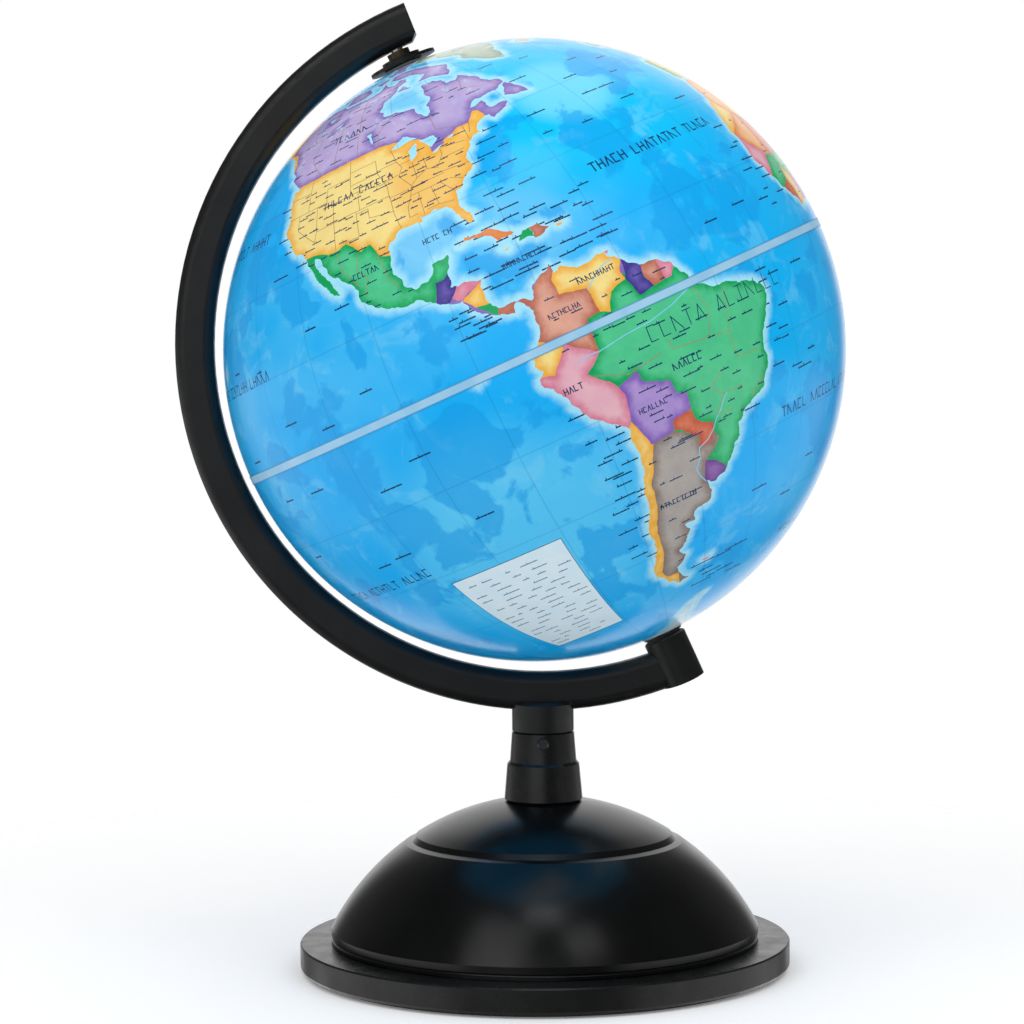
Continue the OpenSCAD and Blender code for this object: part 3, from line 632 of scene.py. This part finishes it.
def map_skin(name, half, unit_regions, unit_overlays):
    """One printed half of the ball: a closed skin with its colours as attributes."""
    def flat_rows(rows):
        """The rows that reach this half, each with its ring flat."""
        shown = [(*row[:-1], row[-1][half * row[-1][:, 2] > HIDDEN_PART]) for row in rows]
        return [(*row[:-1], flatten(row[-1], half)) for row in shown if len(row[-1]) > 2]

    flat_regions = [flat_rows(rows) for rows in unit_regions]
    flat_overlays = [(flatten(ring, half), colour, where) for ring, colour, where in unit_overlays
                     if (half * ring[:, 2]).min() > OVERLAP]
    rings = [circle(1, EQUATOR_STEPS), circle(POLE_HOLE, POLE_STEPS)]
    rings += [row[-1] for rows in flat_regions for row in rows] + [row[0] for row in flat_overlays]
    flat, triangles = triangulate(half, rings, GRID_MM)
    region, inner, edge = paint(flat[triangles].mean(1), flat_regions, flat_overlays)
    pairs, one, other = shared_edges(triangles)
    border = pairs[(other >= 0) & (region[one] != region[other])]
    unit = lift(flat, half)
    tree = search_tree([p for a, b in border for p in (unit[a], (unit[a] + unit[b]) / 2)])
    edge_mm = np.array([min(FAR_MM, tree.find(p)[2] * RADIUS_MM) for p in unit])

    # The plain inside, from the same rims with a coarse grid
    rim = pairs[other < 0]
    rim_points = np.unique(rim)
    rim_points = rim_points[np.argsort(np.arctan2(flat[rim_points, 1], flat[rim_points, 0]))]
    far = np.hypot(flat[rim_points, 0], flat[rim_points, 1]) > 0.5
    loops = [rim_points[far], rim_points[~far]]
    back_flat, back_triangles = triangulate(half, [flat[loop] for loop in loops], BACK_GRID_MM)
    back = lift(back_flat, half)
    tree = search_tree(back)
    count = len(unit)
    behind = {i: count + tree.find(unit[i])[1] for i in rim_points}
    walls = np.array([[b, a, behind[a], behind[b]] for a, b in rim])
    if half < 0:
        triangles, back_triangles, walls = triangles[:, ::-1], back_triangles[:, ::-1], walls[:, ::-1]

    def world(directions):
        return directions[:, 0:1] * FRONT + directions[:, 1:2] * EAST + directions[:, 2:3] * NORTH

    outward = np.concatenate([world(unit), world(back)])
    reach = np.repeat([RADIUS_MM, RADIUS_MM - FILM_THICK_MM], [count, len(back)])[:, None] * MM
    places = CENTRE + outward * reach
    back_triangles = back_triangles[:, ::-1] + count
    faces = triangles.tolist() + back_triangles.tolist() + walls.tolist()
    mesh = bpy.data.meshes.new(name)
    mesh.from_pydata(places.tolist(), [], faces)
    mesh.polygons.foreach_set("use_smooth", np.ones(len(faces), bool))
    plain = np.tile(srgb("#e8e8e4"), (3 * len(back_triangles) + 4 * len(walls), 1))
    for label, colours in (("inner", inner), ("edge", edge)):
        corner = np.concatenate([np.repeat(colours, 3, 0), plain])
        mesh.color_attributes.new(label, "FLOAT_COLOR", "CORNER").data.foreach_set(
            "color", corner.astype(np.float32).ravel())
    mesh.attributes.new("edge_mm", "FLOAT", "POINT").data.foreach_set(
        "value", np.concatenate([edge_mm, np.full(len(back), FAR_MM)]).astype(np.float32))
    mesh.attributes.new("map_dir", "FLOAT_VECTOR", "POINT").data.foreach_set(
        "vector", np.concatenate([unit, back]).astype(np.float32).ravel())

    # Normals straight out from the centre, however thin a triangle is, and flat on the rims
    across = np.cross(places[walls[:, 1]] - places[walls[:, 0]], outward[walls[:, 0]])
    normals = np.concatenate([outward[triangles.ravel()], -outward[back_triangles.ravel()],
                              np.repeat(across, 4, 0)])
    normals /= np.linalg.norm(normals, axis=1)[:, None]
    mesh.normals_split_custom_set(normals.tolist())
    piece = bpy.data.objects.new(name, mesh)
    bpy.context.scene.collection.objects.link(piece)
    return piece


# ---- Materials ----

class Nodes:
    """Short calls for building the nodes of a material, or of the world."""

    def __init__(self, owner):
        owner.use_nodes = True
        self.owner, self.tree = owner, owner.node_tree

    @classmethod
    def of_material(cls, name):
        made = cls(bpy.data.materials.new(name))
        made.shader = next(n for n in made.tree.nodes if n.type == "BSDF_PRINCIPLED")
        return made

    def plug(self, socket, value):
        if isinstance(value, bpy.types.NodeSocket):
            self.tree.links.new(value, socket)
        elif value is not None:
            socket.default_value = value

    def node(self, kind, *values, **settings):
        made = self.tree.nodes.new("ShaderNode" + kind)
        for key, value in settings.items():
            setattr(made, key, value)
        for socket, value in zip(made.inputs, values):
            self.plug(socket, value)
        return made

    def math(self, operation, *values):
        return self.node("Math", *values, operation=operation).outputs[0]

    def smooth(self, value, low, high, to_low=0.0, to_high=1.0):
        return self.node("MapRange", value, low, high, to_low, to_high,
                         interpolation_type="SMOOTHSTEP").outputs[0]

    def mix(self, factor, a, b, blend="MIX"):
        made = self.node("Mix", data_type="RGBA", blend_type=blend)
        for socket, value in zip((made.inputs[0], made.inputs[6], made.inputs[7]), (factor, a, b)):
            self.plug(socket, value)
        return made.outputs[2]

    def noise(self, where, scale, detail=2.0, rough=0.5, distortion=0.0):
        made = self.node("TexNoise")
        for key, value in (("Vector", where), ("Scale", scale), ("Detail", detail),
                           ("Roughness", rough), ("Distortion", distortion)):
            self.plug(made.inputs[key], value)
        return made.outputs["Fac"]

    def dot(self, vector, aim):
        return self.node("VectorMath", vector, aim, operation="DOT_PRODUCT").outputs["Value"]

    def attribute(self, name):
        return self.node("Attribute", attribute_name=name)

    def place(self):
        return self.node("TexCoord").outputs["Object"]

    def bump(self, height, strength, distance):
        made = self.node("Bump")
        for key, value in (("Height", height), ("Strength", strength), ("Distance", distance)):
            self.plug(made.inputs[key], value)
        self.plug(self.shader.inputs["Normal"], made.outputs[0])

    def set(self, **values):
        for key, value in values.items():
            self.plug(self.shader.inputs[key.replace("_", " ")], value)
        return self.owner


# Tints of the sea, two of them painted highlights: place, cosines of the angles out to its rim and its
# middle, strength, colour
SEA_TINTS_AND_PAINTED_HIGHLIGHTS = (
    ((-42.0, 50.0), 0.780, 0.970, 1.00, "#00bff6"), ((-26.0, -4.0), 0.850, 0.970, 0.80, "#00b0f4"),
    ((-90.0, 25.0), 0.990, 0.997, 0.60, "#86cff2"), ((-86.0, 59.0), 0.990, 0.997, 0.70, "#86cff2"),
    # The entry at 46 W 44 N is a painted highlight: a whitish patch on the sea south-east of Newfoundland
    ((-46.0, 44.0), 0.980, 0.996, 0.60, "#84e0fa"), ((-73.0, 20.0), 0.984, 0.996, 0.35, "#86cff2"),
    # A painted highlight: a wide pale patch of sheen on the South Pacific, below the middle of the ball
    ((-98.0, -30.0), 0.890, 0.985, 0.45, "#74dcfa"),
)

NET_DEGREES = 15.0  # between two parallels or meridians of the print


def printed_map_with_painted_highlights():
    """Glossy print: regions with deeper edges, seas with a pale shore, faint map lines, and two pale patches
    of painted highlight on the sea.
    """
    n = Nodes.of_material("printed_map_with_painted_highlights")
    inner, edge = n.attribute("inner"), n.attribute("edge")
    edge_mm = n.attribute("edge_mm").outputs["Fac"]
    where = n.attribute("map_dir").outputs["Vector"]

    def near(place, rim, middle):
        return n.smooth(n.dot(where, tuple(direction(np.array(place)))), rim, middle)

    fine = n.noise(where, 38, 4, 0.6)
    wander = n.math("MULTIPLY_ADD", fine, 3.0, n.math("SUBTRACT", edge_mm, 1.5))
    land = n.mix(n.smooth(wander, -0.3, 3.2), edge.outputs["Color"], inner.outputs["Color"])
    relief = n.smooth(n.noise(where, 16, 5, 0.62), 0.35, 0.72)
    land = n.mix(n.math("MULTIPLY", relief, 0.28), land, srgb("#fff6e0"), "SOFT_LIGHT")
    land = n.mix(n.math("MULTIPLY", near((-81.0, 37.0), 0.974, 0.993), 0.55), land, edge.outputs["Color"])

    basin = n.smooth(n.noise(where, 4.6, 5, 0.52, 0.3), 0.53, 0.575)
    swell = n.smooth(n.noise(where, 2.3, 3, 0.5), 0.42, 0.6)
    shelf = n.smooth(n.noise(where, 7.5, 6, 0.62, 0.6), 0.52, 0.66)
    deep = n.mix(n.math("MULTIPLY", swell, 0.55), inner.outputs["Color"], srgb("#4abdf6"))
    # Tints of the print, and two pale patches that are painted highlights
    for place, rim, middle, share, tint in SEA_TINTS_AND_PAINTED_HIGHLIGHTS:
        deep = n.mix(n.math("MULTIPLY", near(place, rim, middle), share), deep, srgb(tint))
    deep = n.mix(n.math("MULTIPLY", shelf, 0.3), deep, srgb("#7fd2f6"))
    deep = n.mix(n.math("MULTIPLY", basin, 0.65), deep, srgb("#069be8"))
    shore = n.math("MULTIPLY_ADD", n.noise(where, 26, 3, 0.6), 3.0, n.math("SUBTRACT", edge_mm, 1.5))
    sea = n.mix(n.smooth(shore, 0.1, 3.4), edge.outputs["Color"], deep)
    split = n.node("SeparateXYZ", where)
    lat = n.math("DEGREES", n.math("ARCSINE", split.outputs[2]))
    frost = n.math("MULTIPLY", n.smooth(n.noise(where, 27, 4, 0.65), 0.56, 0.66), n.smooth(lat, 47, 60))
    land = n.mix(n.math("MULTIPLY", frost, 0.6), land, srgb("#b9dcf0"))
    colour = n.mix(inner.outputs["Alpha"], sea, land)

    lon = n.math("DEGREES", n.math("ARCTAN2", split.outputs[1], split.outputs[0]))
    lon = n.math("ADD", lon, FACING_LON)
    lines = []
    for angle, squeeze in ((lat, None), (lon, n.math("COSINE", n.math("RADIANS", lat)))):
        turns = n.math("DIVIDE", angle, NET_DEGREES)
        off = n.math("ABSOLUTE", n.math("SUBTRACT", turns, n.math("ROUND", turns)))
        off = n.math("MULTIPLY", off, NET_DEGREES * MM_PER_DEGREE)
        if squeeze is not None:
            off = n.math("MULTIPLY", off, squeeze)
        lines.append(n.smooth(off, 0.1, 0.3, 1.0, 0.0))
    on_sea = n.math("SUBTRACT", 0.24, n.math("MULTIPLY", inner.outputs["Alpha"], 0.24))
    line = n.math("MULTIPLY", n.math("MAXIMUM", lines[0], lines[1]), on_sea)
    colour = n.mix(line, colour, srgb("#0b5fa8"))
    tint = n.math("MULTIPLY", n.noise(where, 160, 2), 0.12)
    colour = n.mix(tint, colour, srgb("#ffffff"), "SOFT_LIGHT")
    n.bump(n.noise(where, 30, 2), 0.04, 0.0004)
    return n.set(Base_Color=colour, Roughness=n.smooth(fine, 0.2, 0.8, 0.14, 0.2),
                 Specular_IOR_Level=0.3)


def plastic(name, colour, rough, grain_mm=0.35, grain=0.12, spread=0.06, **more):
    """Moulded plastic: fine grain, slightly uneven gloss, a trace of lighter dust or wear."""
    n = Nodes.of_material(name)
    where = n.place()
    cloud = n.noise(where, 55, 4, 0.6)
    fine = n.noise(where, 1 / (grain_mm * MM), 3, 0.6)
    base = n.mix(n.smooth(cloud, 0.3, 0.75), [c * 0.8 for c in colour[:3]] + [1],
                 [c * 1.25 + 0.0008 for c in colour[:3]] + [1])
    n.bump(fine, grain, 0.00004)
    roughness = n.smooth(n.noise(where, 130, 3, 0.6), 0.25, 0.75, rough - spread, rough + spread)
    return n.set(Base_Color=base, Roughness=roughness, **more)


def steel(name, colour, rough, streak=(900, 900, 60)):
    """Drawn or rolled steel, with fine lines along one way."""
    n = Nodes.of_material(name)
    stretched = n.node("VectorMath", n.place(), streak, operation="MULTIPLY").outputs[0]
    lines = n.noise(stretched, 1.0, 3, 0.6)
    base = n.mix(n.smooth(lines, 0.3, 0.7), [c * 0.85 for c in colour[:3]] + [1], colour)
    n.bump(lines, 0.05, 0.00003)
    return n.set(Base_Color=base, Metallic=1.0, Roughness=n.smooth(lines, 0.2, 0.8, rough, rough + 0.14))


def felt():
    """Dark felt with a short nap."""
    n = Nodes.of_material("felt")
    where = n.place()
    fluff = n.noise(where, 900, 5, 0.7, 0.5)
    base = n.mix(n.smooth(fluff, 0.3, 0.7), srgb("#2a2a2c"), srgb("#4a4a4d"))
    n.bump(fluff, 0.6, 0.0003)
    return n.set(Base_Color=base, Roughness=n.smooth(fluff, 0, 1, 0.85, 1.0), Sheen_Weight=0.3)


def tape():
    """Pale tape with a faint weave and thin darker edges either side of the equator's plane."""
    n = Nodes.of_material("silver_tape")
    where = n.place()
    to_node = frame["nodes"]["equator_tape"].matrix_world.inverted()
    centre, axis = to_node @ Vector(CENTRE), to_node.to_3x3() @ Vector(NORTH)
    across = n.math("ABSOLUTE", n.math("SUBTRACT", n.dot(where, tuple(axis)), centre.dot(axis)))
    weave = n.noise(where, 1500, 2)
    cloud = n.noise(where, 90, 3)
    base = n.mix(n.smooth(cloud, 0.3, 0.7), srgb("#94cbee"), srgb("#a8d6f3"))
    base = n.mix(n.smooth(across, 0.95 * MM, 1.35 * MM), base, srgb("#3f97cb"))
    n.bump(weave, 0.1, 0.00003)
    return n.set(Base_Color=base, Roughness=n.smooth(cloud, 0, 1, 0.3, 0.45), Metallic=0.1)


def finish_cad():
    """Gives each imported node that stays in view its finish."""
    white = plastic("white_plastic", srgb("#e2e2dc"), 0.5)
    dark_nylon = plastic("dark_nylon", srgb("#1c1c1d"), 0.42, grain_mm=0.5)
    nylon = plastic("nylon", srgb("#ddd8c6"), 0.42, grain_mm=0.5)
    arm = plastic("arm_black", srgb("#131414"), 0.4, grain_mm=0.5, grain=0.3)
    post = plastic("post_black", srgb("#101112"), 0.26, grain_mm=0.4, grain=0.1)
    dial = plastic("dial_black", srgb("#0c0c0d"), 0.4, grain_mm=0.4, grain=0.15)
    spacer = steel("spacer_bronze", srgb("#5d5344"), 0.4, streak=(60, 60, 700))
    button = plastic("button_black", srgb("#2b2b2e"), 0.22, grain_mm=0.3, grain=0.1)
    dome = plastic("dome_black", srgb("#050606"), 0.24, grain_mm=0.3, grain=0.01, spread=0.02,
                   Specular_IOR_Level=0.45)
    flange = plastic("flange_black", srgb("#101111"), 0.3, grain_mm=0.45, grain=0.35)
    hidden = plastic("hidden_black", srgb("#222224"), 0.5)
    bright = steel("bright_steel", srgb("#cfd0d2"), 0.2)
    raw = steel("raw_steel", srgb("#7d7f84"), 0.4, streak=(60, 500, 60))
    finishes = {
        "north_shell": white, "south_shell": white, "equator_joiner": white, "equator_tape": tape(),
        "north_bush": nylon, "south_bush": dark_nylon, "thrust_washer": dark_nylon, "time_dial": dial,
        "meridian_arm": arm, "north_pin": bright, "south_pin": bright, "pin_spacer": spacer,
        "lock_button": button, "lock_spring": bright, "neck": post, "collar": post,
        "neck_washer": bright, "neck_nut": hidden, "base_dome": dome, "base_flange": flange,
        "ballast_plate": raw, "bottom_cover": hidden, "cover_screws": bright, "felt_pad": felt(),
    }
    for node, material in finishes.items():
        mesh = frame["nodes"][node].data
        mesh.materials.clear()
        mesh.materials.append(material)


# ---- Studio ----

AMBIENT = 0.79
WINDOW = (-0.34, -0.87, 0.33)  # the way to a soft window, upper left in front


def area_light(name, azimuth, height, distance, size, radiance, glossy):
    """Soft box that aims at the ball, azimuth degrees round from the front and height above."""
    turn, rise = math.radians(azimuth), math.radians(height)
    away = Vector((math.sin(turn) * math.cos(rise), -math.cos(turn) * math.cos(rise), math.sin(rise)))
    lamp = bpy.data.lights.new(name, "AREA")
    lamp.shape, lamp.size, lamp.size_y = "RECTANGLE", size, size
    lamp.energy = radiance * math.pi * size * size
    made = bpy.data.objects.new(name, lamp)
    bpy.context.scene.collection.objects.link(made)
    made.location = Vector(CENTRE) + away * distance
    made.rotation_euler = away.to_track_quat("Z", "Y").to_euler()
    made.visible_glossy = glossy


def studio():
    """Even light from all round. In reflections: a white sweep low behind, paler sides, a dark front."""
    world = bpy.data.worlds.new("studio")
    bpy.context.scene.world = world
    n = Nodes(world)
    n.tree.nodes.clear()
    toward = n.node("TexCoord").outputs["Generated"]
    x, y, z = n.node("SeparateXYZ", toward).outputs
    sweep = n.math("MULTIPLY", n.smooth(y, 0.2, 0.75), n.smooth(z, 0.5, 0.9, 1.0, 0.06))
    sweep = n.math("MULTIPLY", sweep, n.smooth(n.math("ABSOLUTE", x), 0.25, 0.5, 1.0, 0.06))
    below = n.smooth(z, -0.12, 0.0, 1.0, 0.0)
    left = n.math("MULTIPLY", n.smooth(x, -0.85, -0.45, 0.85, 0.0), below)
    right = n.math("MULTIPLY", n.smooth(x, 0.45, 0.85, 0.0, 0.8), below)
    window = n.smooth(n.dot(toward, WINDOW), 0.79, 0.94, 0.0, 0.7)
    shine = n.math("MAXIMUM", n.math("MAXIMUM", left, right), n.math("ADD", sweep, 0.06))
    shine = n.math("MAXIMUM", shine, window)
    ray = n.node("LightPath").outputs
    strength = n.math("MULTIPLY_ADD", ray["Is Glossy Ray"], n.math("SUBTRACT", shine, AMBIENT), AMBIENT)
    strength = n.math("MAXIMUM", strength, ray["Is Camera Ray"])
    surround = n.node("Background", (1, 1, 1, 1), strength)
    n.node("OutputWorld", surround.outputs[0])

    area_light("key_left", -40, 45, 1.3, 0.6, 1.75, False)
    area_light("key_right", 40, 45, 1.3, 0.6, 1.7, False)
    area_light("top_box", 175, 63, 0.9, 0.5, 0.6, True)
    area_light("patch_high", 0, 67, 1.0, 0.3, 1.7, True)
    area_light("patch_left", -34, 43, 1.0, 0.5, 0.9, True)
    area_light("patch_right", 28, 45, 1.0, 0.3, 1.1, True)

    size = 3.0
    mesh = bpy.data.meshes.new("floor")
    mesh.from_pydata([(-size, -size, 0), (size, -size, 0), (size, size, 0), (-size, size, 0)], [],
                     [(0, 1, 2, 3)])
    floor = bpy.data.objects.new("floor", mesh)
    bpy.context.scene.collection.objects.link(floor)
    n = Nodes.of_material("pale_floor")
    where = n.place()
    far = n.node("VectorMath", where, operation="LENGTH").outputs["Value"]
    mesh.materials.append(n.set(
        Base_Color=n.mix(n.noise(where, 2, 2), srgb("#f6f6f6"), srgb("#fafafa")), Roughness=0.8,
        Specular_IOR_Level=0.2, Emission_Color=(1, 1, 1, 1), Emission_Strength=0.12,
        Alpha=n.smooth(far, 0.1, 0.5, 1.0, 0.0)))
    floor.visible_glossy = False
    bpy.context.scene.view_settings.view_transform = "Standard"


def camera():
    """Straight from the front, a little above the middle, tipped down slightly."""
    pitch, yaw, roll = (math.radians(a) for a in (3.37, -0.54, -0.54))
    spot = (0, -0.9948, 0.2068)
    forward = Vector((math.sin(yaw) * math.cos(pitch), math.cos(yaw) * math.cos(pitch), -math.sin(pitch)))
    level = Vector((math.cos(yaw), -math.sin(yaw), 0))
    upright = level.cross(forward)
    right = math.cos(roll) * level + math.sin(roll) * upright
    up = -math.sin(roll) * level + math.cos(roll) * upright
    data = bpy.data.cameras.new("camera")
    data.sensor_width, data.lens = 36.0, 108.4
    made = bpy.data.objects.new("camera", data)
    bpy.context.scene.collection.objects.link(made)
    turn = Matrix((right, up, -forward)).transposed().to_4x4()
    made.matrix_world = Matrix.Translation(spot) @ turn
    bpy.context.scene.camera = made


REGIONS, OVERLAYS = regions(), overlays()
for side_name, half_sign in (("north", 1), ("south", -1)):
    skin = map_skin(f"{side_name}_map", half_sign, REGIONS, OVERLAYS)
    skin.data.materials.append(bpy.data.materials.get("printed_map_with_painted_highlights") or printed_map_with_painted_highlights())
    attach(skin, "globe")
    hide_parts(f"{side_name}_map_film")
finish_cad()
studio()
camera()
